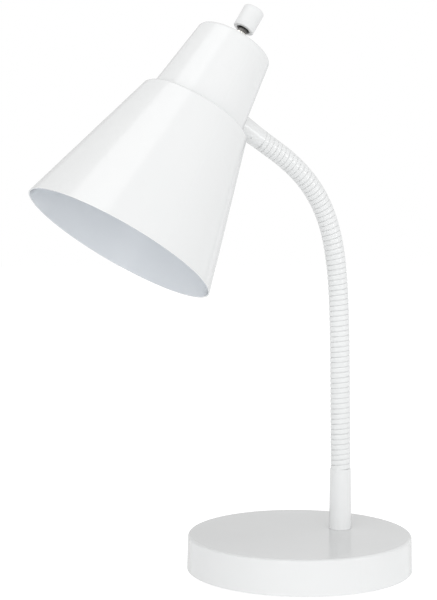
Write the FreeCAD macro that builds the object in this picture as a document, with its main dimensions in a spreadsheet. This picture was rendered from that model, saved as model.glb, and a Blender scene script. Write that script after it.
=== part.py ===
"""Gooseneck desk lamp: a weighted round base, a ribbed bendable neck and a conical shade.

Millimetres. +Z is up and the front of the lamp, where the shade reaches, is -Y. The origin is
on the table under the middle of the base. The neck bends in the YZ plane at rest.
"""
import FreeCAD, Part
import Sketcher
import math
import os
import re

Vector = FreeCAD.Vector
UP = Vector(0, 0, 1)
SIDE = Vector(1, 0, 0)

# Driving sizes: alias, value, meaning
SIZES = (
    # Base
    ("base_radius", 75.0, "outside of the base shell at its foot"),
    ("base_taper", 0.7, "top of the base shell inside its foot"),
    ("base_height", 23.7, "top of the base above the table"),
    ("base_edge_round", 1.8, "rounding of the top edge"),
    ("base_wall", 1.0, "sheet of the base shell"),
    ("base_lift", 0.8, "foot of the base shell above the table"),
    ("neck_setback", 32.3, "neck behind the middle of the base"),
    ("weight_thickness", 10.0, "cast weight under the top of the base"),
    ("weight_clearance", 0.5, "gap between the weight and the shell"),
    ("weight_recess", 3.5, "recess under the weight for the nut"),
    ("weight_recess_radius", 11.0, "radius of that recess"),
    ("boss_radius", 5.5, "bosses under the weight for the plate screws"),
    ("boss_inset", 19.0, "circle of bosses inside the foot of the base"),
    ("notch_margin", 2.0, "notch in the weight past each side of the cord gland"),
    ("pad_thickness", 2.0, "soft pad under the base"),
    ("pad_margin", 0.6, "pad inside the edge of the bottom plate"),
    ("plate_thickness", 1.0, "steel bottom plate"),
    ("plate_clearance", 0.6, "gap between the bottom plate and the shell"),
    ("plate_screw_radius", 2.0, "M4 plate screws"),
    ("plate_screw_length", 7.0, "length of a plate screw under its head"),
    ("plate_screw_head_radius", 3.8, "pan head of a plate screw"),
    ("plate_screw_head", 1.5, "height of that head"),
    ("window_margin", 1.0, "windows in the pad around the screw heads"),
    ("slot_length", 4.6, "cross slots in the plate screws"),
    ("slot_width", 1.2, "cross slots in the plate screws"),
    # Cord gland
    ("gland_height", 9.4, "middle of the cord gland above the table"),
    ("gland_bore", 3.3, "radius of the hole for the cord"),
    ("gland_neck", 4.6, "radius of the gland in the wall"),
    ("gland_flange", 5.6, "radius of the gland's flanges"),
    ("gland_flange_thickness", 1.3, "thickness of the gland's flanges"),
    # Threaded pipe that holds the neck at both ends
    ("pipe_radius", 5.0, "M10 threaded pipe"),
    ("pipe_bore", 3.6, "wire way through the pipe"),
    ("pipe_grip", 11.0, "length of pipe screwed into a ferrule"),
    ("thread_runout", 1.0, "threaded bore of a ferrule past the end of its pipe"),
    ("thread_clearance", 0.04, "gap between screwed cylinders"),
    ("hole_clearance", 0.3, "gap around a pipe or screw in a plain hole"),
    ("washer_radius", 9.0, "plain washer"),
    ("washer_thickness", 1.2, "plain washer"),
    ("spring_washer_radius", 8.0, "split spring washer"),
    ("spring_washer_thickness", 1.5, "split spring washer"),
    ("nut_flats", 13.0, "across the flats of the pipe nuts"),
    ("nut_thickness", 4.0, "pipe nuts"),
    ("pipe_stand_out", 0.8, "pipe end past its nut"),
    ("saddle_thickness", 3.0, "saddle washer in the cap, at its middle"),
    ("bevel", 0.4, "bevels on small turned pieces"),
    # Ferrules
    ("ferrule_length", 40.8, "lower ferrule from the base to the neck"),
    ("ferrule_foot_radius", 7.55, "lower ferrule at the base"),
    ("ferrule_mouth_radius", 6.95, "lower ferrule at the neck"),
    ("ferrule_edge", 0.5, "bevels on both ferrules"),
    ("spigot_radius", 4.9, "ferrule spigot inside the neck"),
    ("spigot_length", 7.0, "ferrule spigot inside the neck"),
    ("head_ferrule_mouth_radius", 6.45, "upper ferrule at the neck"),
    ("head_ferrule_foot_radius", 7.25, "upper ferrule at the shade"),
    ("neck_to_shade_axis", 48.8, "end of the neck to the axis of the shade"),
    ("ferrule_trim", 6.0, "blank of the upper ferrule past the cap before it is fitted to it"),
    ("dimple_radius", 0.6, "crimp dimple in the upper ferrule"),
    ("dimple_depth", 0.5, "crimp dimple in the upper ferrule"),
    ("dimple_distance", 9.0, "dimple from the neck"),
    ("dimple_turn", 40.0, "degrees that the dimple sits below the side"),
    # Neck
    ("rib_pitch", 3.48, "one rib of the neck"),
    ("rib_radius", 6.6, "neck over its ribs"),
    ("groove_radius", 6.0, "neck in its grooves"),
    ("neck_bore", 5.0, "inside of the neck"),
    ("neck_lean", 0.6, "degrees that the neck leans forward at its foot"),
    ("neck_turn", 66.4, "degrees that the neck turns over to the front"),
    ("neck_turn_middle", 187.2, "length of neck up to the middle of its turn"),
    ("neck_turn_spread", 23.1, "how far the turn spreads along the neck"),
    ("link_gap", 1.0, "groove that opens and closes at a bend of the neck"),
    # Shade
    ("shade_tilt", 32.94, "degrees that the top of the shade leans back"),
    ("shade_radius", 63.8, "opening of the shade"),
    ("shade_length", 98.1, "opening of the shade up to its shoulder"),
    ("shoulder_radius", 36.9, "cone of the shade at its shoulder"),
    ("shoulder_round", 1.7, "rounding of the shoulder"),
    ("shade_wall", 0.8, "sheet of the shade and its cap"),
    ("cap_radius", 32.3, "cap of the shade at the shoulder"),
    ("cap_top_radius", 25.4, "cap of the shade at its top"),
    ("cap_length", 51.6, "shoulder up to the edge of the cap's top"),
    ("cap_crown", 4.4, "rise of the cap's top to its flat middle"),
    ("cap_flat_radius", 8.0, "flat middle of the cap's top"),
    ("cap_edge_round", 3.0, "rounding of the cap's top edge"),
    ("crown_round", 14.0, "rounding from the cap's sloping top to its flat middle"),
    ("ferrule_rise", 10.75, "ferrule axis crosses the shade axis above the shoulder"),
    # Lamp holder
    ("holder_radius", 19.5, "outside of the lamp holder"),
    ("holder_length", 40.0, "lamp holder from its mouth to the switch"),
    ("holder_reach", 14.1, "lamp holder below the shoulder"),
    ("holder_wall", 4.6, "wall of the lamp holder"),
    ("holder_floor", 6.0, "closed end of the lamp holder"),
    ("collar_radius", 22.5, "collar of the lamp holder on the shoulder"),
    ("collar_thickness", 1.5, "collar of the lamp holder on the shoulder"),
    ("ring_radius", 24.0, "ring that clamps the shade to the holder"),
    ("ring_thickness", 5.0, "ring that clamps the shade to the holder"),
    ("ring_bevel", 0.8, "ring that clamps the shade to the holder"),
    ("screw_shell_radius", 13.3, "inside of the bulb's screw shell"),
    ("screw_shell_wall", 0.5, "sheet of the screw shell"),
    ("screw_shell_length", 26.0, "length of the screw shell"),
    ("screw_shell_inset", 2.0, "screw shell behind the holder's mouth"),
    ("contact_width", 6.0, "centre contact strip"),
    ("contact_thickness", 0.6, "centre contact strip"),
    ("contact_rise", 4.0, "centre contact springs this far off the floor"),
    ("contact_inset", 3.0, "centre contact inside the screw shell"),
    # Switch
    ("switch_radius", 15.0, "outside of the switch housing"),
    ("switch_wall", 2.0, "wall of the switch housing"),
    ("rotor_radius", 7.0, "switch cam"),
    ("rotor_height", 5.0, "switch cam"),
    ("rotor_float", 1.0, "switch cam above the housing's floor"),
    ("terminal_screw_radius", 1.75, "terminal screws"),
    ("terminal_head_radius", 3.0, "terminal screws"),
    ("terminal_head", 1.6, "terminal screws"),
    ("terminal_slot", 0.8, "slots in the terminal screws"),
    ("terminal_height", 8.0, "terminal screws above the switch's floor"),
    ("blade_thickness", 0.8, "contact blades in the switch"),
    ("blade_width", 4.0, "contact blades in the switch"),
    ("shaft_radius", 1.9, "switch shaft"),
    ("shaft_clearance", 0.05, "running gap round the switch shaft"),
    ("bushing_radius", 3.4, "threaded bushing of the switch"),
    ("bushing_rise", 12.3, "bushing above the cap"),
    ("bushing_collar_radius", 6.0, "bushing's collar under the cap"),
    ("bushing_collar", 3.0, "height of that collar"),
    ("ring_nut_radius", 4.1, "round nut on the cap"),
    ("ring_nut_thickness", 4.6, "round nut on the cap"),
    # Knob
    ("knob_radius", 6.95, "switch knob"),
    ("knob_length", 15.4, "switch knob"),
    ("knob_gap", 7.3, "switch knob above the cap"),
    ("knob_recess_radius", 4.6, "hollow under the knob"),
    ("knob_recess", 7.0, "depth of that hollow"),
    ("knob_edge_round", 1.2, "rounding of the knob's top edge"),
    ("knob_grip", 5.5, "length of shaft in the knob"),
)

# Counts
RIBS_PER_STUB = 5
RIBS_PER_LINK = 4
LINKS = 15
PLATE_SCREWS = 3
SHELL_BEADS = 4

# Places that several pieces share
BASE_TOP = "(base_radius - base_taper)"
PLATE_EDGE = f"({BASE_TOP} - base_wall - plate_clearance)"
BOSS_CIRCLE = "(base_radius - boss_inset)"
BOSS_FOOT = "(pad_thickness + plate_thickness)"
WEIGHT_FOOT = "(base_height - base_wall - weight_thickness)"
CAP_SLOPE = "(cap_radius - cap_top_radius) / cap_length"
CAP_TOP = "(shade_length + cap_length + cap_crown)"
HOLDER_MOUTH = "(shade_length - holder_reach)"
SWITCH_FLOOR = f"({HOLDER_MOUTH} + holder_length)"
SWITCH_TOP = f"({CAP_TOP} - shade_wall - bushing_collar)"

doc = FreeCAD.newDocument("GooseneckLamp")
sheet = doc.addObject("Spreadsheet::Sheet", "Sizes")
for row, (alias, number, meaning) in enumerate(SIZES, start=1):
    sheet.set(f"A{row}", meaning)
    sheet.set(f"B{row}", str(number))
    sheet.setAlias(f"B{row}", alias)
doc.recompute()

ALIASES = {alias for alias, _, _ in SIZES}
NODES = []


def value(expression):
    """Return what an expression of sizes comes to."""
    return float(sheet.evalExpression(expression))


def bound(expression):
    """Write an expression of sizes so that another object can use it."""
    def with_sheet(word):
        return "Sizes." + word[0] if word[0] in ALIASES else word[0]
    return re.sub(r"[A-Za-z_]\w*", with_sheet, expression)


def keep(name, thing, placement=None):
    """Make an object one of the lamp's pieces."""
    thing.Label = name
    if placement is not None:
        thing.Placement = placement
    NODES.append(thing)
    return thing


def keep_shape(name, shape):
    """Keep a shape that is already in its place as one of the lamp's pieces."""
    feature = doc.addObject("Part::Feature", name)
    feature.Shape = shape
    return keep(name, feature)


def origin_plane(body, role):
    """Find one of a body's own origin planes."""
    return next(plane for plane in body.Origin.OriginFeatures if plane.Role == role)


def new_sketch(body, role, name):
    """Start a sketch on one of a body's origin planes."""
    sketch = body.newObject("Sketcher::SketchObject", name)
    sketch.AttachmentSupport = [(origin_plane(body, role), "")]
    sketch.MapMode = "FlatFace"
    return sketch


def pin_point(sketch, line, across, along):
    """Tie the start of a sketch line to expressions of sizes."""
    for kind, expression, axis in (("DistanceX", across, -2), ("DistanceY", along, -1)):
        number = value(expression)
        if number == 0:
            sketch.addConstraint(Sketcher.Constraint("PointOnObject", line, 1, axis))
            continue
        index = sketch.addConstraint(Sketcher.Constraint(kind, -1, 1, line, 1, number))
        sketch.setExpression(f"Constraints[{index}]", bound(expression))


def outline(sketch, corners):
    """Draw a closed outline whose corners are expressions of sizes."""
    points = [Vector(value(across), value(along), 0) for across, along in corners]
    count = len(points)
    for index in range(count):
        sketch.addGeometry(Part.LineSegment(points[index], points[(index + 1) % count]), False)
    for index in range(count):
        sketch.addConstraint(Sketcher.Constraint("Coincident", index, 2, (index + 1) % count, 1))
    for index, (across, along) in enumerate(corners):
        pin_point(sketch, index, across, along)


def turned(name, corners):
    """Turn an outline of (radius, height) corners about the Z axis."""
    body = doc.addObject("PartDesign::Body", name)
    sketch = new_sketch(body, "XZ_Plane", name + "_outline")
    outline(sketch, corners)
    revolution = body.newObject("PartDesign::Revolution", name + "_turn")
    revolution.Profile = sketch
    revolution.ReferenceAxis = (sketch, ["V_Axis"])
    revolution.Angle = 360
    body.Tip = revolution
    doc.recompute()
    return body


def round_edge(body, radius, height, size, feature="PartDesign::Fillet"):
    """Round or bevel the circular edge of a body at one radius and height."""
    tolerance = 0.01
    names = []
    for index, edge in enumerate(body.Shape.Edges, start=1):
        curve = edge.Curve
        if not isinstance(curve, Part.Circle):
            continue
        same_radius = abs(curve.Radius - value(radius)) < tolerance
        if same_radius and abs(curve.Center.z - value(height)) < tolerance:
            names.append(f"Edge{index}")
    if not names:
        raise ValueError(f"{body.Label} has no edge of radius {radius} at {height}")
    base = body.Tip
    dressing = body.newObject(feature, f"{body.Name}_edge_{len(body.Group)}")
    dressing.Base = (base, names)
    key = "Radius" if feature.endswith("Fillet") else "Size"
    dressing.setExpression(key, bound(size))
    body.Tip = dressing
    doc.recompute()


def bevel_edge(body, radius, height, size):
    """Bevel the circular edge of a body at one radius and height."""
    round_edge(body, radius, height, size, "PartDesign::Chamfer")


def circle_sketch(body, role, offset, holes, name):
    """Draw circles, each (across, along, radius), on a plane that stands off an origin plane."""
    sketch = new_sketch(body, role, name)
    sketch.setExpression("AttachmentOffset.Base.z", bound(offset))
    for index, (across, along, radius) in enumerate(holes):
        centre = Vector(value(across), value(along), 0)
        sketch.addGeometry(Part.Circle(centre, UP, value(radius)), False)
        dimension = sketch.addConstraint(Sketcher.Constraint("Radius", index, value(radius)))
        sketch.setExpression(f"Constraints[{dimension}]", bound(radius))
        for kind, expression, axis in (("DistanceX", across, -2), ("DistanceY", along, -1)):
            number = value(expression)
            if number == 0:
                sketch.addConstraint(Sketcher.Constraint("PointOnObject", index, 3, axis))
                continue
            dimension = sketch.addConstraint(Sketcher.Constraint(kind, -1, 1, index, 3, number))
            sketch.setExpression(f"Constraints[{dimension}]", bound(expression))
    return sketch


def finish_cut(body, pocket):
    """Make a cut the tip of its body and check that it took material away."""
    least = 1e-6
    before = body.Shape.Volume
    body.Tip = pocket
    doc.recompute()
    if body.Shape.Volume > before - least:
        raise ValueError(f"{pocket.Name} cut nothing")


def drill(body, role, offset, depth, holes, name, reverse=False):
    """Cut round holes into a body, from a plane that stands off an origin plane."""
    pocket = body.newObject("PartDesign::Pocket", name)
    pocket.Profile = circle_sketch(body, role, offset, holes, name + "_circles")
    pocket.setExpression("Length", bound(depth))
    pocket.Reversed = reverse
    finish_cut(body, pocket)


def add_rounds(body, role, offset, length, rounds, name):
    """Add round bosses to a body, from a plane that stands off an origin plane."""
    pad = body.newObject("PartDesign::Pad", name)
    pad.Profile = circle_sketch(body, role, offset, rounds, name + "_circles")
    pad.setExpression("Length", bound(length))
    body.Tip = pad
    doc.recompute()


def cylinder(name, radius, length, placement):
    """Make a plain cylinder for a boolean."""
    tool = doc.addObject("Part::Cylinder", name)
    tool.setExpression("Radius", bound(radius))
    tool.setExpression("Height", bound(length))
    tool.Placement = placement
    return tool


def box(name, length, width, height, placement):
    """Make a plain box for a boolean."""
    tool = doc.addObject("Part::Box", name)
    tool.setExpression("Length", bound(length))
    tool.setExpression("Width", bound(width))
    tool.setExpression("Height", bound(height))
    tool.Placement = placement
    return tool


def hexagon(name, flats, height, placement):
    """Make a plain six-sided bar for a boolean."""
    tool = doc.addObject("Part::Prism", name)
    tool.Polygon = 6
    tool.setExpression("Circumradius", bound(f"({flats}) / 2 / cos(30)"))
    tool.setExpression("Height", bound(height))
    tool.Placement = placement
    return tool


def cut(name, base, *tools):
    """Cut tools from a base, one after another."""
    for index, tool in enumerate(tools):
        step = doc.addObject("Part::Cut", f"{name}_cut_{index}")
        step.Base = base
        step.Tool = tool
        base = step
    doc.recompute()
    return base


def group(name, things):
    """Hold several separate solids in one object."""
    compound = doc.addObject("Part::Compound", name)
    compound.Links = things
    doc.recompute()
    return compound


def at(x=0.0, y=0.0, z=0.0, frame=None):
    """Place something by an offset in a frame."""
    offset = FreeCAD.Placement(Vector(x, y, z), FreeCAD.Rotation())
    return frame.multiply(offset) if frame else offset


# The neck's middle line
RIBS = 2 * RIBS_PER_STUB + LINKS * RIBS_PER_LINK
NECK_LENGTH = RIBS * value("rib_pitch")
STRAIGHT_END = 2 * value("rib_radius")
STEP = 0.25


def neck_angle(distance):
    """Return how far the neck has turned from upright to the front, in radians."""
    distance = min(distance, NECK_LENGTH - STRAIGHT_END)
    bend = 1 + math.exp((value("neck_turn_middle") - distance) / value("neck_turn_spread"))
    return math.radians(value("neck_lean") + value("neck_turn") / bend)


def neck_line():
    """Add up short steps along the neck, and return its points as (y, z)."""
    y = value("neck_setback")
    z = value("base_height + ferrule_length")
    points = [(y, z)]
    for index in range(math.ceil(NECK_LENGTH / STEP)):
        angle = neck_angle((index + 0.5) * STEP)
        y -= STEP * math.sin(angle)
        z += STEP * math.cos(angle)
        points.append((y, z))
    return points


NECK_POINTS = neck_line()


def neck_frame(distance):
    """Return the frame on the neck's middle line: +X is the lamp's +X and +Z runs along the neck."""
    index = min(int(distance / STEP), len(NECK_POINTS) - 1)
    y, z = NECK_POINTS[index]
    angle = neck_angle(distance)
    rest = distance - index * STEP
    place = Vector(0, y - rest * math.sin(angle), z + rest * math.cos(angle))
    return FreeCAD.Placement(place, FreeCAD.Rotation(SIDE, math.degrees(angle)))


def neck_circle(distance, radius):
    """Draw a circle square to the neck, with its seam on +X."""
    frame = neck_frame(distance)
    along = frame.Rotation.multVec(UP)
    circle = Part.Circle(frame.Base, along, radius)
    circle.XAxis = SIDE
    return Part.Wire([circle.toShape()])


def ribbed_tube(first_rib, ribs, gap_below, gap_above):
    """Make a stretch of neck: each rib is two slopes and a crest between four circles."""
    pitch = value("rib_pitch")
    start = first_rib * pitch
    end = start + ribs * pitch
    groove_share = 0.04
    slope_share = 0.2
    outside = []
    for rib in range(ribs):
        for share, radius in (
            (groove_share, "groove_radius"),
            (slope_share, "rib_radius"),
            (1 - slope_share, "rib_radius"),
            (1 - groove_share, "groove_radius"),
        ):
            outside.append([start + (rib + share) * pitch, value(radius)])
    outside[0][0] = start + gap_below
    outside[-1][0] = end - gap_above
    skin = Part.makeLoft([neck_circle(*station) for station in outside], True, True)
    reach = 1.0
    stations = [start - reach] + [start + rib * pitch for rib in range(ribs + 1)] + [end + reach]
    bore = Part.makeLoft([open_circle(station) for station in stations], True, True)
    return skin.cut(bore)


def open_circle(distance):
    """Draw the neck's bore at a distance that may lie just past an end of the neck."""
    inside = min(max(distance, 0.0), NECK_LENGTH)
    wire = neck_circle(inside, value("neck_bore"))
    shift = neck_frame(inside).Rotation.multVec(UP) * (distance - inside)
    wire.translate(shift)
    return wire


# Frames of the head
NECK_END = neck_frame(NECK_LENGTH)
TILT = FreeCAD.Rotation(SIDE, -value("shade_tilt"))
CROSSING = NECK_END.multVec(Vector(0, 0, value("neck_to_shade_axis")))
SHADE = FreeCAD.Placement(CROSSING - TILT.multVec(UP) * value("shade_length + ferrule_rise"), TILT)
NECK_FOOT = at(y=value("neck_setback"))


def wall_distance(height):
    """Return how far along the upper ferrule's axis the cap's wall lies from the end of the neck."""
    slope = value(CAP_SLOPE)
    halvings = 60
    axis = SHADE.Rotation.inverted().multVec(NECK_END.Rotation.multVec(UP))
    start = SHADE.inverse().multVec(NECK_END.Base)
    reach = value("neck_to_shade_axis")
    near = 0.0
    for _ in range(halvings):
        middle = (near + reach) / 2
        point = start + axis * middle
        wall = value("cap_radius") - slope * (point.z - value("shade_length")) - height
        if math.hypot(point.x, point.y) > wall:
            near = middle
        else:
            reach = middle
    return near


# Base
def make_base_shell():
    """Pressed steel shell, open underneath, with holes for the neck and the cord gland."""
    shell = turned("base_shell", (
        ("0", "base_height"),
        (BASE_TOP, "base_height"),
        ("base_radius", "base_lift"),
        ("base_radius - base_wall", "base_lift"),
        (f"{BASE_TOP} - base_wall", "base_height - base_wall"),
        ("0", "base_height - base_wall"),
    ))
    round_edge(shell, BASE_TOP, "base_height", "base_edge_round")
    round_edge(shell, f"{BASE_TOP} - base_wall", "base_height - base_wall", "base_edge_round - base_wall")
    drill(shell, "XY_Plane", "base_height", "2 * base_wall",
          [("0", "neck_setback", "pipe_radius + hole_clearance")], "neck_hole")
    drill(shell, "XZ_Plane", f"-{BASE_TOP} + base_edge_round + base_wall", "4 * base_edge_round",
          [("0", "gland_height", "gland_neck")], "gland_hole")
    keep("base_shell", shell)


def boss_places():
    """Return where the bottom plate's screws stand, as (across, along) expressions."""
    places = []
    for index in range(PLATE_SCREWS):
        turn = math.radians(360 * index / PLATE_SCREWS - 90)
        places.append((f"{BOSS_CIRCLE} * {math.cos(turn):.6f}", f"{BOSS_CIRCLE} * {math.sin(turn):.6f}"))
    return places


def make_base_weight():
    """Cast-iron weight with a nut recess, screw bosses and a notch for the cord."""
    edge = f"{BASE_TOP} - base_wall - weight_clearance"
    weight = turned("base_casting", (
        ("0", WEIGHT_FOOT),
        (edge, WEIGHT_FOOT),
        (edge, "base_height - base_wall - weight_clearance - base_edge_round"),
        (f"{edge} - base_edge_round", "base_height - base_wall"),
        ("0", "base_height - base_wall"),
    ))
    bosses = [(across, along, "boss_radius") for across, along in boss_places()]
    add_rounds(weight, "XY_Plane", BOSS_FOOT, f"{WEIGHT_FOOT} - {BOSS_FOOT}", bosses, "bosses")
    threads = [(across, along, "plate_screw_radius + thread_clearance") for across, along in boss_places()]
    drill(weight, "XY_Plane", BOSS_FOOT, "plate_screw_length + hole_clearance", threads, "boss_threads", True)
    recess = [("0", "neck_setback", "weight_recess_radius")]
    drill(weight, "XY_Plane", WEIGHT_FOOT, "weight_recess", recess, "nut_recess", True)
    way = [("0", "neck_setback", "pipe_radius + hole_clearance")]
    drill(weight, "XY_Plane", WEIGHT_FOOT, "weight_thickness", way, "pipe_hole", True)
    notch_start = value(f"{edge} - 3 * gland_flange_thickness")
    notch = box("cord_notch", "2 * (gland_flange + notch_margin)", "base_radius", "base_height",
                at(-value("gland_flange + notch_margin"), notch_start))
    keep("base_weight", cut("base_weight", weight, notch))


def make_bottom_plate():
    """Thin steel plate that closes the base."""
    plate = turned("base_bottom_plate", (
        ("0", "pad_thickness"),
        (PLATE_EDGE, "pad_thickness"),
        (PLATE_EDGE, BOSS_FOOT),
        ("0", BOSS_FOOT),
    ))
    holes = [(across, along, "plate_screw_radius + hole_clearance") for across, along in boss_places()]
    drill(plate, "XY_Plane", "pad_thickness", "plate_thickness", holes, "plate_holes", True)
    keep("base_bottom_plate", plate)


def make_foot_pad():
    """Soft pad that the lamp stands on, with windows for the screw heads."""
    pad = turned("base_foot_pad", (
        ("0", "0"),
        (f"{PLATE_EDGE} - pad_margin", "0"),
        (f"{PLATE_EDGE} - pad_margin", "pad_thickness"),
        ("0", "pad_thickness"),
    ))
    windows = [(across, along, "plate_screw_head_radius + window_margin") for across, along in boss_places()]
    drill(pad, "XY_Plane", "0", "pad_thickness", windows, "pad_windows", True)
    keep("base_foot_pad", pad)


def cross_slots(index):
    """Make the two bars that cut the cross slot into the head of a plate screw."""
    low = value("pad_thickness - plate_screw_head")
    half_length = value("slot_length / 2")
    half_width = value("slot_width / 2")
    depth = "plate_screw_head / 2"
    return (
        box(f"screw_{index}_slot_0", "slot_length", "slot_width", depth, at(-half_length, -half_width, low)),
        box(f"screw_{index}_slot_1", "slot_width", "slot_length", depth, at(-half_width, -half_length, low)),
    )


def make_plate_screws():
    """Pan-head screws that hold the bottom plate to the weight."""
    screws = []
    for index, (across, along) in enumerate(boss_places()):
        screw = turned(f"plate_screw_{index}", (
            ("0", "pad_thickness - plate_screw_head"),
            ("plate_screw_head_radius", "pad_thickness - plate_screw_head"),
            ("plate_screw_head_radius", "pad_thickness"),
            ("plate_screw_radius", "pad_thickness"),
            ("plate_screw_radius", f"{BOSS_FOOT} + plate_screw_length"),
            ("0", f"{BOSS_FOOT} + plate_screw_length"),
        ))
        bevel_edge(screw, "plate_screw_head_radius", "pad_thickness - plate_screw_head", "bevel")
        part = cut(f"plate_screw_{index}", screw, *cross_slots(index))
        part.Placement = at(value(across), value(along))
        screws.append(part)
    keep("base_plate_screws", group("base_plate_screws", screws))


def make_gland():
    """Rubber gland in the rear wall, where a cord would leave the base."""
    draft = "base_taper / (base_height - base_lift)"
    outer = f"(base_wall / 2 + {draft} * gland_flange + thread_clearance)"
    inner = f"({outer} + gland_flange ^ 2 / (2 * (base_radius - 2 * base_wall)))"
    gland = turned("cord_gland", (
        ("gland_bore", f"-{inner} - gland_flange_thickness"),
        ("gland_flange", f"-{inner} - gland_flange_thickness"),
        ("gland_flange", f"-{inner}"),
        ("gland_neck - thread_clearance", f"-{inner}"),
        ("gland_neck - thread_clearance", outer),
        ("gland_flange", outer),
        ("gland_flange", f"{outer} + gland_flange_thickness"),
        ("gland_bore", f"{outer} + gland_flange_thickness"),
    ))
    bevel_edge(gland, "gland_flange", f"{outer} + gland_flange_thickness", "bevel")
    wall_middle = value(f"base_radius - base_wall / 2 - {draft} * (gland_height - base_lift)")
    place = Vector(0, wall_middle, value("gland_height"))
    keep("cord_gland", gland, FreeCAD.Placement(place, FreeCAD.Rotation(SIDE, -90)))


# Neck fixings
def make_pipe(name, below, above, placement):
    """Threaded pipe that carries the wires and clamps the neck."""
    pipe = turned(name, (
        ("pipe_bore", f"-({below})"),
        ("pipe_radius - thread_clearance", f"-({below})"),
        ("pipe_radius - thread_clearance", above),
        ("pipe_bore", above),
    ))
    for end in (f"-({below})", above):
        bevel_edge(pipe, "pipe_radius - thread_clearance", end, "bevel")
    keep(name, pipe, placement)


def make_nut(name, placement):
    """Hexagon nut on the threaded pipe, its face on the placement's plane and its body below."""
    bar = hexagon(name + "_bar", "nut_flats", "nut_thickness", at(z=-value("nut_thickness")))
    hole = cylinder(name + "_hole", "pipe_radius", "nut_thickness", at(z=-value("nut_thickness")))
    keep(name, cut(name, bar, hole), placement)


def make_base_fixings():
    """Pipe, washers and nut that clamp the lower ferrule, the shell and the weight."""
    seat = value("base_height - base_wall - weight_thickness + weight_recess")
    plain = value("washer_thickness")
    spring = value("spring_washer_thickness")
    depth = "base_wall + weight_thickness - weight_recess + washer_thickness"
    depth += " + spring_washer_thickness + nut_thickness + pipe_stand_out"
    make_pipe("base_threaded_pipe", depth, "pipe_grip", at(z=value("base_height"), frame=NECK_FOOT))
    washer = turned("base_washer", (
        ("pipe_radius + hole_clearance", "-washer_thickness"),
        ("washer_radius", "-washer_thickness"),
        ("washer_radius", "0"),
        ("pipe_radius + hole_clearance", "0"),
    ))
    keep("base_washer", washer, at(z=seat, frame=NECK_FOOT))
    ring = turned("base_spring_ring", (
        ("pipe_radius + hole_clearance", "-spring_washer_thickness"),
        ("spring_washer_radius", "-spring_washer_thickness"),
        ("spring_washer_radius", "0"),
        ("pipe_radius + hole_clearance", "0"),
    ))
    split = box("spring_split", "washer_radius", "spring_washer_thickness", "2 * spring_washer_thickness",
                at(z=-1.5 * spring))
    keep("base_spring_washer", cut("base_spring_washer", ring, split), at(z=seat - plain, frame=NECK_FOOT))
    make_nut("base_nut", at(z=seat - plain - spring, frame=NECK_FOOT))


def make_lower_ferrule():
    """Tapered sleeve that carries the neck on the base."""
    ferrule = turned("neck_lower_ferrule", (
        ("pipe_bore", "pipe_grip + thread_runout"),
        ("pipe_radius", "pipe_grip + thread_runout"),
        ("pipe_radius", "0"),
        ("ferrule_foot_radius", "0"),
        ("ferrule_mouth_radius", "ferrule_length"),
        ("spigot_radius", "ferrule_length"),
        ("spigot_radius", "ferrule_length + spigot_length"),
        ("pipe_bore", "ferrule_length + spigot_length"),
    ))
    bevel_edge(ferrule, "ferrule_foot_radius", "0", "ferrule_edge / 2")
    round_edge(ferrule, "ferrule_mouth_radius", "ferrule_length", "ferrule_edge")
    keep("neck_lower_ferrule", ferrule, at(z=value("base_height"), frame=NECK_FOOT))


def make_neck():
    """Ribbed neck: a stub in each ferrule and links between them, a bend at every gap."""
    half_gap = value("link_gap / 2")
    keep_shape("neck_stub_lower", ribbed_tube(0, RIBS_PER_STUB, 0.0, half_gap))
    for link in range(LINKS):
        first = RIBS_PER_STUB + link * RIBS_PER_LINK
        keep_shape(f"neck_link_{link + 1:02d}", ribbed_tube(first, RIBS_PER_LINK, half_gap, half_gap))
    keep_shape("neck_stub_upper", ribbed_tube(RIBS - RIBS_PER_STUB, RIBS_PER_STUB, half_gap, 0.0))


# Head fixings
def cap_envelope(name, inset):
    """Make the cap's wall surface as a tall solid cone, set in by an inset."""
    cone = doc.addObject("Part::Cone", name)
    cone.setExpression("Radius1", bound(f"cap_radius - ({inset}) + {CAP_SLOPE} * cap_length"))
    cone.setExpression("Radius2", bound(f"cap_radius - ({inset}) - {CAP_SLOPE} * 2 * cap_length"))
    cone.setExpression("Height", bound("3 * cap_length"))
    cone.Placement = at(z=value("shade_length - cap_length"), frame=SHADE)
    return cone


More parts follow.
